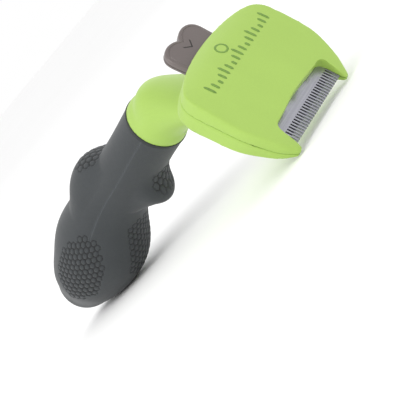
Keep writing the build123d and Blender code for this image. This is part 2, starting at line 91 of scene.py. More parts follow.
# Handle: stations along its spine as (x, z, half depth, half width) in mm, as the CAD model has
# them. In these coordinates the slide plane's origin is at DESIGN_POINT.
DESIGN_POINT = (87.2, 10.0)
HANDLE_STATIONS = [
    (26.8, 43.2, 12.7, 12.8),
    (11.5, 40.4, 12.5, 12.7),
    (-3.2, 37.5, 13.0, 12.8),
    (-18.0, 34.9, 13.8, 13.4),
    (-32.7, 30.5, 16.5, 16.2),
    (-47.5, 24.6, 20.1, 19.2),
    (-62.5, 19.4, 18.9, 19.2),
    (-74.5, 16.5, 15.8, 16.6),
    (-83.8, 14.2, 12.2, 11.9),
    (-89.8, 13.4, 6.6, 7.0),
    (-92.0, 13.2, 1.6, 2.0),
]
# Side profiles of the thumb rest and the finger hook, as (x, z).
THUMB_REST = [
    (-43.0, 43.5), (-36.7, 47.9), (-31.0, 51.5), (-24.5, 53.7), (-18.0, 54.1), (-11.5, 52.6), (-2.0, 48.4),
]
FINGER_HOOK = [
    (-22.0, 22.6), (-14.0, 21.2), (-6.0, 18.6), (-1.2, 16.9), (2.4, 18.6), (6.2, 23.8), (13.5, 29.5),
]
# Hang hole: a rounded triangle that points at the tail.
HANG_FLAT_X = -73.8
HANG_APEX_X = -88.6
HANG_HALF_WIDTH = 8.2
HANG_CORNER = 2.4
HANG_CUT_Z = (-30.0, 60.0)


# ---------------------------------------------------------------------------
# Camera, floor and light
# ---------------------------------------------------------------------------
CAMERA_FROM_ORIGIN = Vector((0.42742, -0.44600, 0.08817))
TARGET_FROM_ORIGIN = Vector((-0.08413, 0.00493, -0.00284))
CAMERA_LENS = 152.7
CAMERA_ROLL = math.radians(49.608)
SENSOR_WIDTH = 36
CAMERA_REACH = (0.01, 50)
WORLD_STRENGTH = 1.0
FLOOR_HALF = 6.0
FLOOR_GAP = 0.0002
LIGHT_TARGET = Vector((0.0, 0.0, 0.03))
# Lamps as (name, place, side of the square, power, tint).
LIGHTS = [
    ("key_light", (0.30, -0.80, 0.80), 0.9, 4.2, (1.0, 0.99, 0.97)),
    ("fill_light", (-0.85, -0.75, 0.55), 1.1, 1.5, (0.97, 0.98, 1.0)),
    ("back_light", (-0.2, 0.95, 0.8), 1.0, 2.2, (1.0, 1.0, 1.0)),
]


def add_camera():
    """Long-lens camera, rolled so that the handle falls away to the lower left."""
    camera = bpy.data.objects.new("camera", bpy.data.cameras.new("camera"))
    bpy.context.scene.collection.objects.link(camera)
    bpy.context.scene.camera = camera
    camera.data.sensor_width = SENSOR_WIDTH
    camera.data.lens = CAMERA_LENS
    camera.data.clip_start, camera.data.clip_end = CAMERA_REACH
    camera.location = ORIGIN + CAMERA_FROM_ORIGIN
    sight = TARGET_FROM_ORIGIN - CAMERA_FROM_ORIGIN
    camera.rotation_mode = "QUATERNION"
    roll = Quaternion((0, 0, 1), -CAMERA_ROLL)
    camera.rotation_quaternion = sight.to_track_quat("-Z", "Y") @ roll


def add_area_light(name, place, size, power, tint):
    """Soft square lamp that looks at the middle of the tool."""
    light = bpy.data.lights.new(name, "AREA")
    light.shape = "SQUARE"
    light.size = size
    light.energy = power
    light.color = tint
    lamp = bpy.data.objects.new(name, light)
    bpy.context.scene.collection.objects.link(lamp)
    lamp.location = place
    lamp.rotation_mode = "QUATERNION"
    lamp.rotation_quaternion = (LIGHT_TARGET - Vector(place)).to_track_quat("-Z", "Y")


def add_world():
    """Even pale surroundings."""
    world = bpy.data.worlds.new("pale_room")
    bpy.context.scene.world = world
    world.use_nodes = True
    background = world.node_tree.nodes["Background"]
    background.inputs["Color"].default_value = (1, 1, 1, 1)
    background.inputs["Strength"].default_value = WORLD_STRENGTH
    bpy.context.scene.view_settings.view_transform = "Standard"


def add_floor(material):
    """Pale floor that the tool lies on."""
    mesh = bpy.data.meshes.new("floor")
    corners = [(-1, -1), (1, -1), (1, 1), (-1, 1)]
    vertices = [(x * FLOOR_HALF, y * FLOOR_HALF, -FLOOR_GAP) for x, y in corners]
    mesh.from_pydata(vertices, [], [(0, 1, 2, 3)])
    floor = bpy.data.objects.new("floor", mesh)
    bpy.context.scene.collection.objects.link(floor)
    mesh.materials.append(material)


# ---------------------------------------------------------------------------
# Materials
# ---------------------------------------------------------------------------
# Places of the colour sockets on the Mix node, which has several sockets of each name.
MIX_COLOUR_A, MIX_COLOUR_B, MIX_COLOUR_RESULT = 6, 7, 2


class Recipe:
    """Short way to write a node material around one Principled shader."""

    def __init__(self, name, **constants):
        self.material = bpy.data.materials.new(name)
        self.material.use_nodes = True
        self.tree = self.material.node_tree
        self.shader = self.tree.nodes["Principled BSDF"]
        for socket, value in constants.items():
            self.shader.inputs[socket.replace("_", " ")].default_value = value
        self.place = self.tree.nodes.new("ShaderNodeTexCoord").outputs["Object"]

    def link(self, output, node_input):
        """Join an output to an input."""
        self.tree.links.new(output, node_input)

    def stretched(self, scale):
        """Object place scaled by a different amount along each axis."""
        mapping = self.tree.nodes.new("ShaderNodeMapping")
        mapping.inputs["Scale"].default_value = scale
        self.link(self.place, mapping.inputs["Vector"])
        return mapping.outputs["Vector"]

    def noise(self, scale, detail=3.0, place=None):
        """Noise of a size, as a value round a half."""
        node = self.tree.nodes.new("ShaderNodeTexNoise")
        node.inputs["Scale"].default_value = scale
        node.inputs["Detail"].default_value = detail
        self.link(place or self.place, node.inputs["Vector"])
        return node.outputs["Fac"]

    def cells(self, scale):
        """Distance to the nearest point of a random scatter."""
        node = self.tree.nodes.new("ShaderNodeTexVoronoi")
        node.inputs["Scale"].default_value = scale
        self.link(self.place, node.inputs["Vector"])
        return node.outputs["Distance"]

    def attribute(self, name):
        """Value that the mesh carries at each point."""
        node = self.tree.nodes.new("ShaderNodeAttribute")
        node.attribute_name = name
        return node.outputs["Fac"]

    def ramp(self, value, stops):
        """Colour or level by value; stops are (position, colour)."""
        node = self.tree.nodes.new("ShaderNodeValToRGB")
        elements = node.color_ramp.elements
        while len(elements) < len(stops):
            elements.new(0.5)
        for element, (position, colour) in zip(elements, stops):
            element.position = position
            element.color = (*colour, 1) if len(colour) == 3 else colour
        self.link(value, node.inputs["Fac"])
        return node.outputs["Color"]

    def levels(self, value, low, high):
        """Value spread from low to high."""
        node = self.tree.nodes.new("ShaderNodeMapRange")
        node.inputs["To Min"].default_value = low
        node.inputs["To Max"].default_value = high
        self.link(value, node.inputs["Value"])
        return node.outputs["Result"]

    def blend(self, share, first, second):
        """Two colours mixed by a share."""
        node = self.tree.nodes.new("ShaderNodeMix")
        node.data_type = "RGBA"
        if isinstance(share, float):
            node.inputs["Factor"].default_value = share
        else:
            self.link(share, node.inputs["Factor"])
        for socket, colour in ((MIX_COLOUR_A, first), (MIX_COLOUR_B, second)):
            if isinstance(colour, tuple):
                node.inputs[socket].default_value = (*colour, 1)
            else:
                self.link(colour, node.inputs[socket])
        return node.outputs[MIX_COLOUR_RESULT]

    def bump(self, height, strength, distance):
        """Fine relief from a height value, in metres."""
        node = self.tree.nodes.new("ShaderNodeBump")
        node.inputs["Strength"].default_value = strength
        node.inputs["Distance"].default_value = distance
        self.link(height, node.inputs["Height"])
        self.link(node.outputs["Normal"], self.shader.inputs["Normal"])

    def colour(self, output):
        """Send an output to the base colour."""
        self.link(output, self.shader.inputs["Base Color"])

    def roughness(self, output):
        """Send an output to the roughness."""
        self.link(output, self.shader.inputs["Roughness"])


def tone(colour, factor):
    """Colour made lighter or darker."""
    return tuple(min(1.0, channel * factor) for channel in colour)


GREEN = (0.365, 0.550, 0.104)
SLATE = (0.0310, 0.0362, 0.0398)


def green_plastic():
    """Satin moulded plastic with faint flow marks and a fine eroded grain."""
    recipe = Recipe("green_plastic", Specular_IOR_Level=0.42, Coat_Weight=0.06, Coat_Roughness=0.25)
    flow = recipe.noise(38, 2.0, recipe.stretched((0.5, 1.6, 0.7)))
    body = recipe.ramp(flow, [(0.3, tone(GREEN, 0.955)), (0.7, tone(GREEN, 1.035))])
    speck = recipe.ramp(recipe.noise(2600, 2.0), [(0.42, tone(GREEN, 0.93)), (0.6, tone(GREEN, 1.02))])
    recipe.colour(recipe.blend(0.35, body, speck))
    recipe.roughness(recipe.levels(recipe.noise(900, 3.0), 0.36, 0.50))
    recipe.bump(recipe.noise(3400, 3.0), 0.22, 0.00006)
    return recipe.material


def grip_rubber():
    """Matt soft rubber: fine speckle, a painted highlight along the parting line, and painted shade in the grooves
    of the texture.
    """
    recipe = Recipe("grip_rubber", Specular_IOR_Level=0.38, Sheen_Weight=0.12, Sheen_Roughness=0.5)
    cloud = recipe.noise(45, 3.0)
    body = recipe.ramp(cloud, [(0.32, tone(SLATE, 0.90)), (0.68, tone(SLATE, 1.10))])
    speck = recipe.ramp(recipe.noise(3000, 2.0), [(0.40, tone(SLATE, 0.80)), (0.62, tone(SLATE, 1.12))])
    mixed = recipe.blend(0.4, body, speck)
    # Painted shade: the grooves of the hex texture are coloured near black.
    with_groove_shade = recipe.blend(recipe.attribute("groove_and_shade"), mixed, (0.007, 0.008, 0.009))
    # Painted highlight: a paler line along the parting line of the halves.
    recipe.colour(recipe.blend(recipe.attribute("parting_highlight"), with_groove_shade, tone(SLATE, 1.9)))
    recipe.roughness(recipe.levels(recipe.noise(700, 3.0), 0.50, 0.66))
    recipe.bump(recipe.noise(4200, 3.0), 0.30, 0.00007)
    return recipe.material


def comb_steel():
    """Ground stainless steel: fine lines along the blade, faint lavender tint."""
    recipe = Recipe("comb_steel", Metallic=0.86)
    lines = recipe.noise(900, 4.0, recipe.stretched((1.0, 0.05, 6.0)))
    recipe.colour(recipe.ramp(lines, [(0.3, (0.34, 0.34, 0.385)), (0.7, (0.46, 0.46, 0.515))]))
    recipe.roughness(recipe.levels(lines, 0.26, 0.42))
    recipe.bump(lines, 0.12, 0.00003)
    return recipe.material


def button_plastic():
    """Metallic painted plastic with fine flakes under a clear coat."""
    recipe = Recipe("button_plastic", Metallic=0.55, Coat_Weight=0.35, Coat_Roughness=0.16)
    flakes = recipe.cells(5200)
    body = recipe.ramp(recipe.noise(60, 2.0), [(0.3, (0.150, 0.125, 0.120)), (0.7, (0.180, 0.150, 0.145))])
    glint = recipe.ramp(flakes, [(0.0, (0.27, 0.235, 0.23)), (0.35, (0.15, 0.127, 0.122))])
    recipe.colour(recipe.blend(0.35, body, glint))
    recipe.roughness(recipe.levels(flakes, 0.26, 0.38))
    recipe.bump(flakes, 0.08, 0.00003)
    return recipe.material


def moulded_black(name, colour, low, high, grain):
    """Dark moulded plastic with a fine grain."""
    recipe = Recipe(name, Specular_IOR_Level=0.4)
    cloud = recipe.noise(120, 3.0)
    recipe.colour(recipe.ramp(cloud, [(0.3, tone(colour, 0.8)), (0.7, tone(colour, 1.25))]))
    recipe.roughness(recipe.levels(recipe.noise(800, 3.0), low, high))
    recipe.bump(recipe.noise(grain, 3.0), 0.2, 0.00006)
    return recipe.material


def plain_steel(name, colour, low, high, stretch):
    """Drawn or plated steel with fine marks."""
    recipe = Recipe(name, Metallic=0.9)
    marks = recipe.noise(1400, 3.0, recipe.stretched(stretch))
    recipe.colour(recipe.ramp(marks, [(0.3, tone(colour, 0.8)), (0.7, tone(colour, 1.15))]))
    recipe.roughness(recipe.levels(marks, low, high))
    recipe.bump(marks, 0.1, 0.00003)
    return recipe.material


def face_ink():
    """Darker green print on the face."""
    recipe = Recipe("face_ink", Specular_IOR_Level=0.35)
    ink = recipe.noise(1200, 3.0)
    recipe.colour(recipe.ramp(ink, [(0.35, (0.140, 0.265, 0.042)), (0.65, (0.180, 0.320, 0.058))]))
    recipe.roughness(recipe.levels(ink, 0.45, 0.6))
    recipe.bump(ink, 0.1, 0.00003)
    return recipe.material


def floor_paint():
    """Matt pale floor, all but even."""
    recipe = Recipe("floor_paint", Specular_IOR_Level=0.1)
    cloud = recipe.noise(3, 2.0)
    recipe.colour(recipe.ramp(cloud, [(0.3, (0.955, 0.955, 0.955)), (0.7, (0.97, 0.97, 0.97))]))
    recipe.roughness(recipe.levels(recipe.noise(40, 2.0), 0.75, 0.9))
    return recipe.material


MATERIALS = {
    "green_plastic": green_plastic(),
    "grip_rubber": grip_rubber(),
    "comb_steel": comb_steel(),
    "button_plastic": button_plastic(),
    "dark_plastic": moulded_black("dark_plastic", (0.022, 0.024, 0.028), 0.45, 0.6, 2600),
    # Collar: part of its near-black tone is the ring's own colour, and part is painted shade for the gap where the
    # neck meets the grip.
    "collar_plastic": moulded_black("collar_plastic", (0.014, 0.018, 0.016), 0.35, 0.5, 2600),
    "core_plastic": moulded_black("core_plastic", (0.09, 0.095, 0.10), 0.5, 0.65, 1800),
    "spring_steel": plain_steel("spring_steel", (0.50, 0.50, 0.52), 0.22, 0.4, (1, 1, 3)),
    "screw_steel": plain_steel("screw_steel", (0.48, 0.48, 0.50), 0.3, 0.45, (1, 1, 1)),
    "face_ink": face_ink(),
    "button_ink": moulded_black("button_ink", (0.030, 0.026, 0.025), 0.4, 0.55, 2600),
}


# ---------------------------------------------------------------------------
# Meshes
# ---------------------------------------------------------------------------
WELD_DISTANCE = 0.004
RELAX_STEP = 0.6                       # part of the way to its neighbours' middle that a pass moves a vertex
FLAT_ANGLE = math.radians(1)
BEVEL_ANGLE = math.radians(35)


def new_piece(name, vertices, faces, slot, body="tool", node=None, material=None, smooth=True):
    """Mesh object with its body, finish and the CAD nodes that it stands for."""
    mesh = bpy.data.meshes.new(name)
    mesh.from_pydata([tuple(v) for v in vertices], [], [tuple(int(i) for i in f) for f in faces])
    mesh.validate()
    piece = bpy.data.objects.new(name, mesh)
    bpy.context.scene.collection.objects.link(piece)
    dress(piece, slot, body, node, material, smooth)
    return piece


def dress(piece, slot, body, node=None, material=None, smooth=True):
    """Body, finish and replaced node of a piece."""
    piece.data.materials.clear()
    piece.data.materials.append(MATERIALS[material or slot])
    for polygon in piece.data.polygons:
        polygon.use_smooth = smooth
    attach(piece, body)
    if node:
        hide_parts(node)


def welded_copy(node, name):
    """Copy of a CAD node's mesh as one closed surface."""
    source = frame["nodes"][node]
    mesh = source.data.copy()
    mesh.name = name
    piece = bpy.data.objects.new(name, mesh)
    bpy.context.scene.collection.objects.link(piece)
    edit = bmesh.new()
    edit.from_mesh(mesh)
    bmesh.ops.remove_doubles(edit, verts=edit.verts, dist=WELD_DISTANCE * MM)
    bmesh.ops.recalc_face_normals(edit, faces=edit.faces)
    edit.to_mesh(mesh)
    edit.free()
    return piece


def apply_modifier(piece, kind, **settings):
    """Add one modifier, set it and apply it."""
    modifier = piece.modifiers.new(kind.lower(), kind)
    for name, value in settings.items():
        setattr(modifier, name, value)
    bpy.context.view_layer.update()
    graph = bpy.context.evaluated_depsgraph_get()
    mesh = bpy.data.meshes.new_from_object(piece.evaluated_get(graph))
    old = piece.data
    piece.modifiers.clear()
    piece.data = mesh
    bpy.data.meshes.remove(old)


def points_of(piece):
    """Vertices of a piece as an array."""
    points = np.empty(len(piece.data.vertices) * 3)
    piece.data.vertices.foreach_get("co", points)
    return points.reshape(-1, 3)


def set_points(piece, points):
    """Write an array back to the vertices of a piece."""
    piece.data.vertices.foreach_set("co", points.ravel())
    piece.data.update()


def relax(piece, passes, share):
    """Smooth a mesh; share gives each vertex its part of every pass, from 0 to 1."""
    edges = np.empty(len(piece.data.edges) * 2, dtype=int)
    piece.data.edges.foreach_get("vertices", edges)
    a, b = edges.reshape(-1, 2).T
    points = points_of(piece)
    count = np.bincount(a, minlength=len(points)) + np.bincount(b, minlength=len(points))
    for index in range(passes):
        weight = np.clip(share * passes - index, 0, 1)[:, None]
        total = np.zeros_like(points)
        np.add.at(total, a, points[b])
        np.add.at(total, b, points[a])
        points += weight * RELAX_STEP * (total / count[:, None] - points)
    set_points(piece, points)


def bevelled_copy(node, name, width, segments, body, slot):
    """Copy of a CAD node with its hard edges rounded."""
    piece = welded_copy(node, name)
    edit = bmesh.new()
    edit.from_mesh(piece.data)
    bmesh.ops.dissolve_limit(edit, angle_limit=FLAT_ANGLE, verts=edit.verts, edges=edit.edges)
    edit.to_mesh(piece.data)
    edit.free()
    apply_modifier(
        piece, "BEVEL", width=width * MM, segments=segments,
        limit_method="ANGLE", angle_limit=BEVEL_ANGLE, use_clamp_overlap=True,
    )
    dress(piece, slot, body, node, smooth=False)
    shade_by_angle(piece, SMOOTH_ANGLE)
    return piece


def shade_by_angle(piece, degrees):
    """Smooth shading that keeps edges sharper than the angle."""
    mesh = piece.data
    edit = bmesh.new()
    edit.from_mesh(mesh)
    limit = math.radians(degrees)
    for face in edit.faces:
        face.smooth = True
    for edge in edit.edges:
        if len(edge.link_faces) == 2:
            edge.smooth = edge.calc_face_angle(0.0) < limit
    edit.to_mesh(mesh)
    edit.free()


# ---------------------------------------------------------------------------
# Head
# ---------------------------------------------------------------------------
SMOOTH_ANGLE = 40                      # degrees between faces that still shade as one surface
BUTTON_SMOOTH_ANGLE = 35
VOXEL = 0.40
COLLAR_WIDTH = 1.4
NECK_RADIUS = 12.6
NECK_BALL = 12.4                       # radius of the half ball on the collar's head side
BALL_RINGS = 9
BALL_SIDES = 48
# Runs over which smoothing comes on, in mm, each as (none, all).
FACE_CREASE_SIDE = (26.5, 29.5)
FACE_CREASE_HEIGHT = (33, 26)
FACE_CREASE_DEPTH = (-3.2, -2.0)       # from the face
GUARD_CREASE_SIDE = (22.6, 24.5)
GUARD_CREASE_HEIGHT = (6, 0)
GUARD_CREASE_DEPTH = (-0.5, 0.5)
GUARD_TIP_HEIGHT = (-5.5, -7.5)
REAR_DEPTH = (-4.6, -6.6)
REAR_FROM_COLLAR = (0.6, 6.0)
COVER_PASSES = 24
COVER_LEAST, COVER_CREASE, COVER_TIP = 0.10, 0.9, 0.25
REAR_PASSES = 90
REAR_LEAST = 0.07
# Region of the button's slot, which stays crisp: half width, lowest height and rearmost depth.
SLOT_HALF_WIDTH, SLOT_LOW, SLOT_REAR = 14.5, 32, -5.6
# The neck's round end: the depth of skin that may move and that moves all the way, the run over
# which it is let go, where that begins, and the run that is pressed flat onto the collar.
NECK_SKIN = 2.6
NECK_SURE_SKIN = 1.2
NECK_HELD = (1.0, 6.0)
NECK_BEHIND = -0.3
NECK_FLUSH = 0.45


def soft_step(value, start, end):
    """Smooth 0 to 1 from start to end."""
    share = np.clip((value - start) / (end - start), 0, 1)
    return share * share * (3 - 2 * share)


def curve_at(curve, h):
    """Depth of a head curve at a height."""
    heights = np.array([p[0] for p in curve])[::-1]
    depths = np.array([p[1] for p in curve])[::-1]
    return np.interp(h, heights, depths)


def add_block(piece, y_range, h_range, n_range):
    """Add a closed block on the slide plane to a mesh that is remeshed next."""
    edit = bmesh.new()
    edit.from_mesh(piece.data)
    corner = {}
    for i, y in enumerate(y_range):
        for j, h in enumerate(h_range):
            for k, n in enumerate(n_range):
                corner[i, j, k] = edit.verts.new(on_plane(y, h, n))
    for axis in range(3):
        for end in (0, 1):
            loop = []
            for a, b in ((0, 0), (1, 0), (1, 1), (0, 1)):
                key = [a, b]
                key.insert(axis, end)
                loop.append(corner[tuple(key)])
            flip = (axis == 1) == (end == 1)
            edit.faces.new(loop if not flip else loop[::-1])
    edit.to_mesh(piece.data)
    edit.free()


# Rounding of hard edges, as (width in mm, segments).
COMB_EDGE = (0.10, 2)
PUSHER_EDGE = (0.3, 2)
COLLAR_EDGE = (0.25, 3)
NOTCH_HALF_WIDTH = 21.5
NOTCH_SIDE_TOP = 3.8
NOTCH_MIDDLE_TOP = 4.8
NOTCH_CORNER = 3.0
NOTCH_LIP = ((-22.4, 22.4), (1.0, 6.2), (0.25, 2.4))
NOTCH_CUT_LOW = -20.0
NOTCH_CUT_DEPTHS = (-3.0, 12.0)
CURVE_STEPS = 8                        # steps of a rounded corner or a shallow arch


def prism(name, outline, place):
    """Closed prism for cutting: an outline carried from its first to its second place."""
    size = len(outline)
    vertices = [place(*point, end) for end in (0, 1) for point in outline]
    faces = [tuple(range(size)), tuple(range(2 * size - 1, size - 1, -1))]
    faces += [(i, size + i, size + (i + 1) % size, (i + 1) % size) for i in range(size)]
    mesh = bpy.data.meshes.new(name)
    mesh.from_pydata([tuple(v) for v in vertices], [], faces)
    cutter = bpy.data.objects.new(name, mesh)
    bpy.context.scene.collection.objects.link(cutter)
    tidy_normals(cutter)
    return cutter


def tidy_normals(piece):
    """Make every face look outwards."""
    edit = bmesh.new()
    edit.from_mesh(piece.data)
    bmesh.ops.recalc_face_normals(edit, faces=edit.faces)
    edit.to_mesh(piece.data)
    edit.free()


def cut(piece, cutters):
    """Take the cutters out of a piece and remove them."""
    for cutter in cutters:
        apply_modifier(piece, "BOOLEAN", operation="DIFFERENCE", object=cutter, solver="EXACT")
        bpy.data.objects.remove(cutter)


def notch_cutter():
    """Prism of the notch in which the comb shows, with rounded upper corners."""
    corner_y, corner_h = NOTCH_HALF_WIDTH - NOTCH_CORNER, NOTCH_SIDE_TOP - NOTCH_CORNER
    right = [(NOTCH_HALF_WIDTH, NOTCH_CUT_LOW)]
    for step in range(CURVE_STEPS + 1):
        turn = math.pi / 2 * step / CURVE_STEPS
        right.append((corner_y + NOTCH_CORNER * math.cos(turn), corner_h + NOTCH_CORNER * math.sin(turn)))
    for step in range(1, CURVE_STEPS):
        y = corner_y * (1 - step / CURVE_STEPS)
        rise = (NOTCH_MIDDLE_TOP - NOTCH_SIDE_TOP) * (0.5 + 0.5 * math.cos(math.pi * y / corner_y))
        right.append((y, NOTCH_SIDE_TOP + rise))
    left = [(-y, h) for y, h in right[::-1]]
    outline = [*right, (0.0, NOTCH_MIDDLE_TOP), *left]
    return prism("notch_cutter", outline, lambda y, h, end: on_plane(y, h, NOTCH_CUT_DEPTHS[end]))


def front_cover():
    """Front cover with the soft crease between its face and its side walls."""
    piece = welded_copy("head_front_cover", "front_cover_shell")
    add_block(piece, *NOTCH_LIP)
    apply_modifier(piece, "REMESH", mode="VOXEL", voxel_size=VOXEL * MM, use_smooth_shade=True)
    y, h, n = plane_coordinates(points_of(piece)).T
    side = np.abs(y)
    below_face = n - curve_at(FACE_CURVE, h)
    face_crease = soft_step(side, *FACE_CREASE_SIDE) * soft_step(h, *FACE_CREASE_HEIGHT)
    face_crease *= soft_step(below_face, *FACE_CREASE_DEPTH)
    guard_crease = soft_step(side, *GUARD_CREASE_SIDE) * soft_step(h, *GUARD_CREASE_HEIGHT)
    guard_crease *= soft_step(n, *GUARD_CREASE_DEPTH)
    crease = np.maximum(face_crease, guard_crease)
    tip = soft_step(h, *GUARD_TIP_HEIGHT)
    share = np.clip(COVER_LEAST + COVER_CREASE * crease + COVER_TIP * tip, 0, 1)
    relax(piece, COVER_PASSES, share)
    cut(piece, [notch_cutter()])
    dress(piece, "green_plastic", "tool", "head_front_cover")
    shade_by_angle(piece, SMOOTH_ANGLE)
    return piece


def neck_end():
    """Middle of the neck's end on the collar, and the direction from it towards the head."""
    (x0, z0), (x1, z1) = (station[:2] for station in HANDLE_STATIONS[:2])
    toward_head = np.array([x0 - x1, 0, z0 - z1]) / math.hypot(x0 - x1, z0 - z1)
    handle_end = handle_place(np.array(x0), np.array(0.0), np.array(z0))
    return handle_end + toward_head * COLLAR_WIDTH * MM, toward_head


def collar_distance(points):
    """Distance in mm of an array of places from the neck's end, towards the head."""
    start, toward_head = neck_end()
    return (points - start) @ toward_head / MM


def true_neck_end(piece):
    """Bring the neck back to a clean round edge where it meets the collar."""
    start, toward_head = neck_end()
    points = points_of(piece)
    along = (points - start) @ toward_head / MM
    across = points - start - np.outer(along, toward_head) * MM
    radius = np.linalg.norm(across, axis=1) / MM
    skin = NECK_RADIUS - NECK_SKIN
    outside = (along > NECK_BEHIND) & (along < NECK_HELD[1]) & (radius > skin)
    hold = np.where(outside, 1 - soft_step(along, *NECK_HELD), 0)
    hold = hold * soft_step(radius, skin, NECK_RADIUS - NECK_SURE_SKIN)
    wanted = radius + (NECK_RADIUS - radius) * hold
    across *= (wanted / np.maximum(radius, 1e-6))[:, None]
    flush = outside & (along < NECK_FLUSH)
    along = np.where(flush, 0.0, along)
    set_points(piece, start + np.outer(along, toward_head) * MM + across)


def add_neck_ball(piece):
    """Fill the corner between the collar and the neck with half a ball, before the remesh."""
    start, toward_head = neck_end()
    start, ahead = Vector(start), Vector(toward_head)
    across = Vector((ahead.z, 0, -ahead.x))
    edit = bmesh.new()
    edit.from_mesh(piece.data)
    rings = []
    for ring in range(BALL_RINGS):
        lift = math.pi / 2 * ring / BALL_RINGS
        loop = []
        for step in range(BALL_SIDES):
            turn = 2 * math.pi * step / BALL_SIDES
            spoke = across * math.cos(turn) + LATERAL * math.sin(turn)
            reach = (ahead * math.sin(lift) + spoke * math.cos(lift)) * NECK_BALL * MM
            loop.append(edit.verts.new(start + reach))
        rings.append(loop)
    for low, high in zip(rings, rings[1:]):
        for step in range(BALL_SIDES):
            after = (step + 1) % BALL_SIDES
            edit.faces.new((low[step], low[after], high[after], high[step]))
    edit.faces.new(rings[0][::-1])
    edit.faces.new(rings[-1])
    edit.to_mesh(piece.data)
    edit.free()


def rear_shell():
    """Rear shell and swan neck in one moulding, blended softly where they meet."""
    piece = welded_copy("head_body", "rear_shell_and_neck")
    add_neck_ball(piece)
    apply_modifier(piece, "REMESH", mode="VOXEL", voxel_size=VOXEL * MM, use_smooth_shade=True)
    y, h, n = plane_coordinates(points_of(piece)).T
    behind = soft_step(n, *REAR_DEPTH)
    behind *= soft_step(collar_distance(points_of(piece)), *REAR_FROM_COLLAR)
    slot = (np.abs(y) < SLOT_HALF_WIDTH) & (h > SLOT_LOW) & (n > SLOT_REAR)
    share = np.clip(REAR_LEAST + (1 - REAR_LEAST) * behind, 0, 1)
    share[slot] = REAR_LEAST
    relax(piece, REAR_PASSES, share)
    true_neck_end(piece)
    dress(piece, "green_plastic", "tool", "head_body")
    return piece


def comb():
    """Comb with softened teeth."""
    return bevelled_copy("comb_blade", "comb_plate", *COMB_EDGE, "tool", "comb_steel")


# ---------------------------------------------------------------------------
# Thumb button
# ---------------------------------------------------------------------------
BUTTON_LOBE = [
    (0.0, 52.2), (2.6, 53.7), (6.0, 54.3), (9.2, 53.6), (11.4, 51.6), (12.1, 48.8), (11.9, 44.0),
]
BUTTON_FOOT = 12.0                     # half width where the button meets its lap
BUTTON_LOW = 33.0
# The thin lap inside the head: half width, rear and front depth, and top.
LAP_HALF_WIDTH = 11.9
LAP_DEPTHS = (-2.0, -0.02)
LAP_TOP = 40.2
LOBE_SAMPLES = 6
PROFILE_SAMPLES = 10
# Rings round the button from back to front, as (drawn in, depth).
BUTTON_RINGS = [
    (1.0, -3.6), (0.45, -3.5), (0.1, -3.2), (0.0, -2.8), (0.0, -2.35), (0.22, -2.25), (0.22, -2.05),
    (0.0, -1.95), (0.0, -0.9), (0.06, -0.5), (0.28, -0.15), (0.7, 0.0), (1.25, 0.0), (1.35, -0.14),
    (1.65, -0.14), (1.75, 0.0),
]


def smooth_chain(points, samples):
    """Catmull-Rom curve through points."""
    points = [np.array(p, float) for p in points]
    padded = [2 * points[0] - points[1], *points, 2 * points[-1] - points[-2]]
    chain = []
    for i in range(1, len(padded) - 2):
        a, b, c, d = padded[i - 1:i + 3]
        for t in np.linspace(0, 1, samples, endpoint=False):
            square = (2 * a - 5 * b + 4 * c - d) * t ** 2
            cube = (3 * b - a - 3 * c + d) * t ** 3
            chain.append(0.5 * (2 * b + (c - a) * t + square + cube))
    chain.append(points[-1])
    return chain


def inset_loop(loop, amount):
    """Closed loop drawn in along its normals; loop runs anticlockwise."""
    loop = np.array(loop)
    ahead = np.roll(loop, -1, axis=0) - loop
    behind = loop - np.roll(loop, 1, axis=0)
    ahead /= np.linalg.norm(ahead, axis=1)[:, None]
    behind /= np.linalg.norm(behind, axis=1)[:, None]
    normal_a = np.stack([-ahead[:, 1], ahead[:, 0]], 1)
    normal_b = np.stack([-behind[:, 1], behind[:, 0]], 1)
    bisector = normal_a + normal_b
    length = np.linalg.norm(bisector, axis=1)[:, None]
    cosine = np.clip(length / 2, 0.6, 1)
    return loop + bisector / length * amount / cosine


def button_outline():
    """Outline of the button above its lap, anticlockwise from the lower right."""
    right = smooth_chain([(BUTTON_FOOT, LAP_TOP), *BUTTON_LOBE[::-1]], LOBE_SAMPLES)
    left = [np.array((-p[0], p[1])) for p in right[-2::-1]]
    return [*right, *left]


def ejector_button():
    """Two-lobed button with a rounded rim, and a shallow groove round its edge and its face."""
    outline = button_outline()
    vertices, faces = [], []
    for inset, depth in BUTTON_RINGS:
        for y, h in inset_loop(outline, inset):
            vertices.append(on_plane(y, max(h, LAP_TOP), depth))
    size = len(outline)
    for ring in range(len(BUTTON_RINGS) - 1):
        for i in range(size):
            j = (i + 1) % size
            low, high = ring * size, (ring + 1) * size
            faces.append((low + i, low + j, high + j, high + i))
    faces.append(tuple(range(size - 1, -1, -1)))
    faces.append(tuple(range(len(vertices) - size, len(vertices))))
    lap = len(vertices)
    corners = [
        (-LAP_HALF_WIDTH, BUTTON_LOW), (LAP_HALF_WIDTH, BUTTON_LOW),
        (LAP_HALF_WIDTH, LAP_TOP), (-LAP_HALF_WIDTH, LAP_TOP),
    ]
    for depth in LAP_DEPTHS:
        for y, h in corners:
            vertices.append(on_plane(y, h, depth))
    faces += [
        (lap + 3, lap + 2, lap + 1, lap), (lap + 4, lap + 5, lap + 6, lap + 7),
        (lap, lap + 1, lap + 5, lap + 4), (lap + 1, lap + 2, lap + 6, lap + 5),
        (lap + 2, lap + 3, lap + 7, lap + 6), (lap + 3, lap, lap + 4, lap + 7),
    ]
    piece = new_piece(
        "thumb_button", vertices, faces, "button_plastic", "ejector", "ejector_button", smooth=False,
    )
    shade_by_angle(piece, BUTTON_SMOOTH_ANGLE)
    return piece


# Plain chevron on the button, anticlockwise, and how far the mark's back and front lie from its face.
BUTTON_MARK = [(-2.6, 48.6), (0.0, 46.2), (2.6, 48.6), (2.6, 49.3), (0.0, 46.9), (-2.6, 49.3)]
MARK_LIFTS = (-0.05, 0.03)


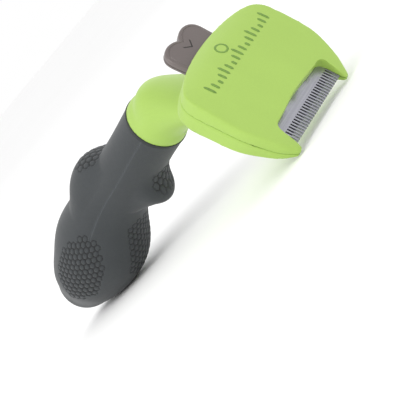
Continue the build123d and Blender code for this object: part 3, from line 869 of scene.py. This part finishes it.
def flat_mark(name, outline, body, slot, material):
    """Thin printed mark on the slide plane: a closed sliver a few hundredths thick."""
    size = len(outline)
    vertices = []
    for lift in MARK_LIFTS:
        vertices += [on_plane(y, h, lift) for y, h in outline]
    faces = [tuple(range(size, 2 * size)), tuple(range(size - 1, -1, -1))]
    faces += [(i, (i + 1) % size, size + (i + 1) % size, size + i) for i in range(size)]
    return new_piece(name, vertices, faces, slot, body, material=material, smooth=False)


# ---------------------------------------------------------------------------
# Print on the face: a row of short bars like a comb, and a plain ring above it
# ---------------------------------------------------------------------------
BAR_COUNT = 17
BAR_FIRST, BAR_LAST = -22.0, 26.0
BAR_LOW = 27.6
BAR_HEIGHT = 5.2
BAR_HALF_WIDTH = 0.62
RING_CENTRE = (0.6, 36.0)
RING_RADII = (1.9, 2.7)
RING_SIDES = 36
AHEAD_OF_FACE = 12.0                   # depth from which the face is looked for
PRINT_LIFT = 0.035
PRINT_THICKNESS = 0.06
BAR_STEPS = 6
BAR_END_POWER = 8                      # how squarely a bar's ends are rounded
BAR_LEAST_WIDTH = 0.35
BAR_SWING = 0.28                       # share of a bar's height that varies along the row


def face_print(cover):
    """Generic print on the face, laid on the curve of the cover."""
    vertices, faces = [], []

    def patch(rows):
        """Grid of places, each row a list of (y, h)."""
        start = len(vertices)
        width = len(rows[0])
        for row in rows:
            for y, h in row:
                vertices.append(on_plane(y, h, face_depth(cover, y, h) + PRINT_LIFT))
        for r in range(len(rows) - 1):
            for c in range(width - 1):
                a = start + r * width + c
                faces.append((a, a + 1, a + width + 1, a + width))

    for index in range(BAR_COUNT):
        y = BAR_FIRST + (BAR_LAST - BAR_FIRST) * index / (BAR_COUNT - 1)
        height = BAR_HEIGHT * (1 - BAR_SWING + BAR_SWING * math.cos(index * math.pi / 2))
        rows = []
        for step in range(BAR_STEPS + 1):
            share = step / BAR_STEPS
            narrow = math.sqrt(max(0.0, 1 - (2 * share - 1) ** BAR_END_POWER))
            half = BAR_HALF_WIDTH * max(narrow, BAR_LEAST_WIDTH)
            h = BAR_LOW + height * share
            rows.append([(y - half, h), (y, h), (y + half, h)])
        patch(rows)
    rows = []
    for radius in RING_RADII:
        rows.append([
            (
                RING_CENTRE[0] + radius * math.cos(2 * math.pi * k / RING_SIDES),
                RING_CENTRE[1] - radius * math.sin(2 * math.pi * k / RING_SIDES),
            )
            for k in range(RING_SIDES + 1)
        ])
    patch(rows)
    piece = new_piece("face_print", vertices, faces, "green_plastic", "tool", material="face_ink")
    apply_modifier(piece, "SOLIDIFY", thickness=PRINT_THICKNESS * MM, offset=-1)
    dress(piece, "green_plastic", "tool", material="face_ink")
    return piece


def face_depth(cover, y, h):
    """Depth of the cover's face at a place, read from the finished cover."""
    start = on_plane(y, h, AHEAD_OF_FACE)
    hit, place, _, _ = cover.ray_cast(start, -AHEAD)
    if not hit:
        raise ValueError("the print runs off the face")
    return (place - ORIGIN).dot(AHEAD) / MM


# ---------------------------------------------------------------------------
# Grip
# ---------------------------------------------------------------------------
HEX_PITCH = 2.45
HEX_STRETCH = 1.36                     # cells are longer along the handle than round it
HEX_GROOVE = 0.42
HEX_DEPTH = 0.42
HEX_DOME = 0.14
GRIP_WALL = 2.3
STEP_ALONG = 0.34
STEPS_ROUND = 300
REST_SPREAD = math.radians(64)
HOOK_SPREAD = math.radians(58)
# Where the halves meet: a fine groove, with a painted highlight along it as far as the bulb.
PARTING_HALF = 0.16
PARTING_DEPTH = 0.04
GIRTH_SCALE = 13                       # mm of girth for each radian, near enough at the parting line
PARTING_HIGHLIGHT_HALF = 0.35
PARTING_HIGHLIGHT_FADE = (66, 60)
PARTING_HIGHLIGHT_STRENGTH = 0.75
TAIL_CLOSING = 1.6                     # length over which the tail closes to a point
TAIL_LEAST = 0.03                      # keeps the last ring wide enough to cut cleanly
INNER_LEAST = 0.05                     # the same for the inside, as a share of the outside
REST_FALL, HOOK_FALL = 0.75, 0.85      # how steeply the thumb rest and the hook fall off sideways
SPINE_STEP = 0.5                       # half the run over which the spine's direction is read
SPINE_SAMPLES = 800
PROFILE_BLUR = 9                       # samples over which a side profile is evened out
GROOVE_BEGINS, GROOVE_ENDS = 0.25, 0.95
TINY = 1e-9


class Spine:
    """Smooth run of the handle's stations by distance from the collar."""

    def __init__(self):
        stations = np.array(HANDLE_STATIONS)
        steps = np.linalg.norm(np.diff(stations[:, :2], axis=0), axis=1)
        self.knots = np.concatenate([[0], np.cumsum(steps)])
        self.values = stations
        self.length = self.knots[-1]
        self.bends = self.natural_bends()

    def natural_bends(self):
        """Second derivatives of a natural cubic spline through the stations."""
        t, v = self.knots, self.values
        count = len(t)
        matrix = np.zeros((count, count))
        right = np.zeros_like(v)
        matrix[0, 0] = matrix[-1, -1] = 1
        for i in range(1, count - 1):
            before, after = t[i] - t[i - 1], t[i + 1] - t[i]
            matrix[i, i - 1:i + 2] = before, 2 * (before + after), after
            right[i] = 6 * ((v[i + 1] - v[i]) / after - (v[i] - v[i - 1]) / before)
        return np.linalg.solve(matrix, right)

    def at(self, s):
        """x, z, half depth and half width at each distance."""
        t, v, m = self.knots, self.values, self.bends
        i = np.clip(np.searchsorted(t, s) - 1, 0, len(t) - 2)
        width = t[i + 1] - t[i]
        a = ((t[i + 1] - s) / width)[:, None]
        b = ((s - t[i]) / width)[:, None]
        width = width[:, None]
        bend = ((a ** 3 - a) * m[i] + (b ** 3 - b) * m[i + 1]) * width ** 2 / 6
        return a * v[i] + b * v[i + 1] + bend

    def directions(self, s):
        """Unit directions along the spine and out of its thumb side, as (x, z)."""
        after = self.at(np.minimum(s + SPINE_STEP, self.length))[:, :2]
        ahead = after - self.at(np.maximum(s - SPINE_STEP, 0))[:, :2]
        ahead /= np.linalg.norm(ahead, axis=1)[:, None]
        return ahead, np.stack([ahead[:, 1], -ahead[:, 0]], 1)


SPINE = Spine()


def profile_rise(profile, s, dorsal):
    """How far a side profile stands out of the plain handle at each distance."""
    chain = np.array(smooth_chain(profile, PROFILE_SAMPLES))
    fine = np.linspace(0, SPINE.length, SPINE_SAMPLES)
    run = SPINE.at(fine)
    nearest = np.argmin(np.linalg.norm(chain[:, None] - run[None, :, :2], axis=2), axis=1)
    _, out = SPINE.directions(fine)
    side = 1 if dorsal else -1
    reach = np.einsum("ij,ij->i", chain - run[nearest, :2], out[nearest]) * side
    rise = reach - run[nearest, 2]
    order = np.argsort(fine[nearest])
    height = np.interp(s, fine[nearest][order], rise[order], left=0, right=0)
    height = np.maximum(height, 0)
    kernel = np.hanning(PROFILE_BLUR)
    return np.convolve(height, kernel / kernel.sum(), mode="same")


def spread(angle, width, power):
    """Falls from 1 at the middle of a feature to 0 at its edge."""
    return (0.5 + 0.5 * np.cos(np.pi * np.clip(np.abs(angle) / width, 0, 1))) ** power


# Patches of hexagons as polygons in mm: distance from the collar, and girth from the middle
# line of the patch. They lie on both flanks, the belly, the thumb rest and the hook.
FLANK_PATCH = [
    (63.5, -2.6), (64.0, 3.2), (68.4, 5.4), (78.0, 10.4), (84.4, 9.6), (90.4, 10.2), (104.0, 3.4),
    (103.8, -2.6), (98.8, -8.2), (92.0, -12.4), (77.4, -11.0),
]
BELLY_EDGE = [(52.0, 3.0), (56.0, 8.6), (66.0, 10.4), (78.0, 10.0), (84.0, 6.0), (86.0, 0.0)]
REST_EDGE = [(31.0, 3.2), (34.0, 7.6), (39.0, 8.8), (43.6, 6.0)]
HOOK_EDGE = [(16.0, 2.6), (19.0, 6.4), (24.0, 7.6), (27.6, 4.6)]


def mirrored_patch(edge):
    """Patch that is alike on both sides of its middle line."""
    return [(along, -girth) for along, girth in edge] + edge[::-1]


def inside(polygon, u, v):
    """Which places lie in a polygon."""
    result = np.zeros(u.shape, bool)
    for (x0, y0), (x1, y1) in zip(polygon, polygon[1:] + polygon[:1]):
        crosses = (y0 > v) != (y1 > v)
        edge = x0 + (v - y0) * (x1 - x0) / (y1 - y0 if y1 != y0 else TINY)
        result ^= crosses & (u < edge)
    return result


def hexagons(polygon, u, v):
    """Relief of domed hexagons and the painted shade of their grooves, whole cells only, inside a polygon."""
    polygon = [(along / HEX_STRETCH, girth) for along, girth in polygon]
    u = u / HEX_STRETCH
    row_step = HEX_PITCH * math.sqrt(3) / 2
    best = np.full(u.shape, np.inf)
    centre_u = np.zeros_like(u)
    centre_v = np.zeros_like(v)
    row = np.round(v / row_step)
    for offset in (-1, 0, 1):
        r = row + offset
        shift = np.mod(r, 2) * HEX_PITCH / 2
        cu = np.round((u - shift) / HEX_PITCH) * HEX_PITCH + shift
        cv = r * row_step
        distance = (u - cu) ** 2 + (v - cv) ** 2
        closer = distance < best
        best = np.where(closer, distance, best)
        centre_u = np.where(closer, cu, centre_u)
        centre_v = np.where(closer, cv, centre_v)
    du, dv = np.abs(u - centre_u), np.abs(v - centre_v)
    radius = np.maximum(du, du / 2 + dv * math.sqrt(3) / 2)
    edge = HEX_PITCH / 2 - radius
    chosen = inside(polygon, centre_u, centre_v)
    groove_and_shade = 1 - soft_step(edge, HEX_GROOVE * GROOVE_BEGINS, HEX_GROOVE * GROOVE_ENDS)
    dome = 1 - (radius / (HEX_PITCH / 2)) ** 2
    relief = np.where(chosen, HEX_DOME * dome - HEX_DEPTH * groove_and_shade, 0)
    return relief, np.where(chosen, groove_and_shade, 0)


def grip_surface(s, angle):
    """Places of the grip's outside, with the values of its grooves and their painted shade. Angle 0 is the thumb
    side.
    """
    run = SPINE.at(s)
    _, out = SPINE.directions(s)
    grid_s, grid_a = np.meshgrid(s, angle, indexing="ij")
    depth, width = run[:, 2][:, None], run[:, 3][:, None]
    cos_a, sin_a = np.cos(grid_a), np.sin(grid_a)
    radius = depth * width / np.sqrt((width * cos_a) ** 2 + (depth * sin_a) ** 2)
    rest = profile_rise(THUMB_REST, s, True)[:, None]
    hook = profile_rise(FINGER_HOOK, s, False)[:, None]
    radius = radius + rest * spread(grid_a, REST_SPREAD, REST_FALL)
    under = np.abs(grid_a) - np.pi
    radius = radius + hook * spread(under, HOOK_SPREAD, HOOK_FALL)
    mean = (run[:, 2] + run[:, 3])[:, None] / 2
    flank = (np.abs(grid_a) - np.pi / 2) * mean
    relief, groove_and_shade = hexagons(FLANK_PATCH, grid_s, flank)
    # On the thumb rest, the hook and the belly the girth is measured from their middle lines.
    from_belly = np.where(grid_a > 0, grid_a - np.pi, grid_a + np.pi)
    for half_outline, turn in ((REST_EDGE, grid_a), (HOOK_EDGE, from_belly), (BELLY_EDGE, from_belly)):
        more, dark = hexagons(mirrored_patch(half_outline), grid_s, turn * radius)
        relief, groove_and_shade = relief + more, np.maximum(groove_and_shade, dark)
    radius = radius + relief
    closing = np.clip((SPINE.length - s) / TAIL_CLOSING, TAIL_LEAST, 1)
    radius = radius * np.sqrt(closing)[:, None]
    x = run[:, 0][:, None] + out[:, 0][:, None] * radius * cos_a
    z = run[:, 1][:, None] + out[:, 1][:, None] * radius * cos_a
    z = np.maximum(z, DESIGN_POINT[1] - ORIGIN.z / MM)
    y = -radius * sin_a
    return x, y, z, groove_and_shade


def handle_place(x, y, z):
    """Place in the frame of handle coordinates in mm."""
    base_x = ORIGIN.x / MM - DESIGN_POINT[0]
    base_z = ORIGIN.z / MM - DESIGN_POINT[1]
    return np.stack([(x + base_x) * MM, y * MM, (z + base_z) * MM], -1)


def grip_half(name, node, from_angle, to_angle):
    """One half of the soft grip: outside with its relief, parting faces and a plain inside."""
    s = np.linspace(0, SPINE.length, int(SPINE.length / STEP_ALONG))
    angle = np.linspace(from_angle, to_angle, STEPS_ROUND // 2)
    x, y, z, groove_and_shade = grip_surface(s, angle)
    edge = np.minimum(np.abs(angle - from_angle), np.abs(angle - to_angle))[None, :] * GIRTH_SCALE
    lip = PARTING_DEPTH * np.exp(-(edge / PARTING_HALF) ** 2)
    run = SPINE.at(s)
    centre_x, centre_z = run[:, 0][:, None], run[:, 1][:, None]
    length = np.sqrt((x - centre_x) ** 2 + y ** 2 + (z - centre_z) ** 2) + 1e-6
    shrink = 1 - lip / length
    x, y, z = centre_x + (x - centre_x) * shrink, y * shrink, centre_z + (z - centre_z) * shrink
    inner = np.clip(1 - GRIP_WALL / length, INNER_LEAST, 1)
    depth = run[:, 2][:, None]
    plain = np.minimum(inner, (depth - GRIP_WALL).clip(0.1) / length * 1.02)
    xi, yi, zi = centre_x + (x - centre_x) * plain, y * plain, centre_z + (z - centre_z) * plain
    outer_points = handle_place(x, y, z).reshape(-1, 3)
    inner_points = handle_place(xi, yi, zi).reshape(-1, 3)
    rows, columns = x.shape
    count = rows * columns
    faces = []
    for r in range(rows - 1):
        for c in range(columns - 1):
            a = r * columns + c
            faces.append((a, a + 1, a + columns + 1, a + columns))
            faces.append((count + a, count + a + columns, count + a + columns + 1, count + a + 1))
    border = [(r * columns, (r + 1) * columns) for r in range(rows - 1)]
    border += [((rows - 1) * columns + c, (rows - 1) * columns + c + 1) for c in range(columns - 1)]
    border += [((r + 1) * columns - 1 + columns, (r + 1) * columns - 1) for r in range(rows - 2, -1, -1)]
    border += [(c + 1, c) for c in range(columns - 2, -1, -1)]
    for a, b in border:
        faces.append((a, b, count + b, count + a))
    vertices = np.concatenate([outer_points, inner_points])
    piece = new_piece(name, vertices, faces, "grip_rubber", "tool", node)
    # Painted highlight along the parting line, fading out at the bulb.
    parting_highlight = np.exp(-(edge / PARTING_HIGHLIGHT_HALF) ** 2) * soft_step(s, *PARTING_HIGHLIGHT_FADE)[:, None] * PARTING_HIGHLIGHT_STRENGTH
    write_attribute(piece, "groove_and_shade", np.concatenate([groove_and_shade.ravel(), np.zeros(count)]))
    write_attribute(piece, "parting_highlight", np.concatenate([parting_highlight.ravel(), np.zeros(count)]))
    return piece


def write_attribute(piece, name, values):
    """Store a value at each point of the mesh."""
    layer = piece.data.attributes.new(name, "FLOAT", "POINT")
    layer.data.foreach_set("value", np.clip(values, 0, 1).astype(np.float32))


def hang_cutter():
    """Rounded triangular prism, for cutting the hang hole."""
    corners = [(HANG_FLAT_X, HANG_HALF_WIDTH), (HANG_APEX_X, 0.0), (HANG_FLAT_X, -HANG_HALF_WIDTH)]
    outline = []
    for i in range(3):
        before, corner, after = (np.array(corners[(i + k) % 3]) for k in (-1, 0, 1))
        into = (before - corner) / np.linalg.norm(before - corner)
        away = (after - corner) / np.linalg.norm(after - corner)
        half = math.acos(float(into @ away)) / 2
        centre = corner + (into + away) / np.linalg.norm(into + away) * HANG_CORNER / math.sin(half)
        start = corner + into * HANG_CORNER / math.tan(half)
        end = corner + away * HANG_CORNER / math.tan(half)
        a0 = math.atan2(*(start - centre)[::-1])
        a1 = math.atan2(*(end - centre)[::-1])
        turn = (a1 - a0 + math.pi) % (2 * math.pi) - math.pi
        for k in range(CURVE_STEPS + 1):
            a = a0 + turn * k / CURVE_STEPS
            outline.append(centre + HANG_CORNER * np.array([math.cos(a), math.sin(a)]))

    def place(x, y, end):
        """Place of an outline point at the cutter's foot or head."""
        return handle_place(np.array(x), np.array(y), np.array(HANG_CUT_Z[end]))

    return prism("hang_cutter", outline, place)


# ---------------------------------------------------------------------------
# Build
# ---------------------------------------------------------------------------
add_camera()
add_world()
add_floor(floor_paint())
for lamp_settings in LIGHTS:
    add_area_light(*lamp_settings)

cover = front_cover()
rear_shell()
comb()
ejector_button()
face_print(cover)
flat_mark("button_mark", BUTTON_MARK, "ejector", "button_plastic", "button_ink")
bevelled_copy("pusher_bar", "pusher_blade", *PUSHER_EDGE, "ejector", "dark_plastic")
# Collar ring between neck and grip; its near-black finish also paints the shade of the gap at the joint.
bevelled_copy("collar_ring", "collar_band", *COLLAR_EDGE, "tool", "collar_plastic")

grips = [
    grip_half("grip_thumb_half", "grip_upper", -math.pi / 2, math.pi / 2),
    grip_half("grip_finger_half", "grip_lower", math.pi / 2, 3 * math.pi / 2),
]
for grip in grips:
    tidy_normals(grip)
    cut(grip, [hang_cutter()])

# The springs stay fixed with the tool, each with a mesh of its own.
for side in ("left", "right"):
    spring = welded_copy(f"ejector_spring_{side}", f"return_spring_{side}")
    dress(spring, "spring_steel", "tool", f"ejector_spring_{side}")
    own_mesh(spring)

for entry in frame["record"]["subparts"]:
    node = frame["nodes"][entry["node"]]
    node.data.materials.clear()
    node.data.materials.append(MATERIALS[entry["material_slot"]])

bpy.context.view_layer.update()
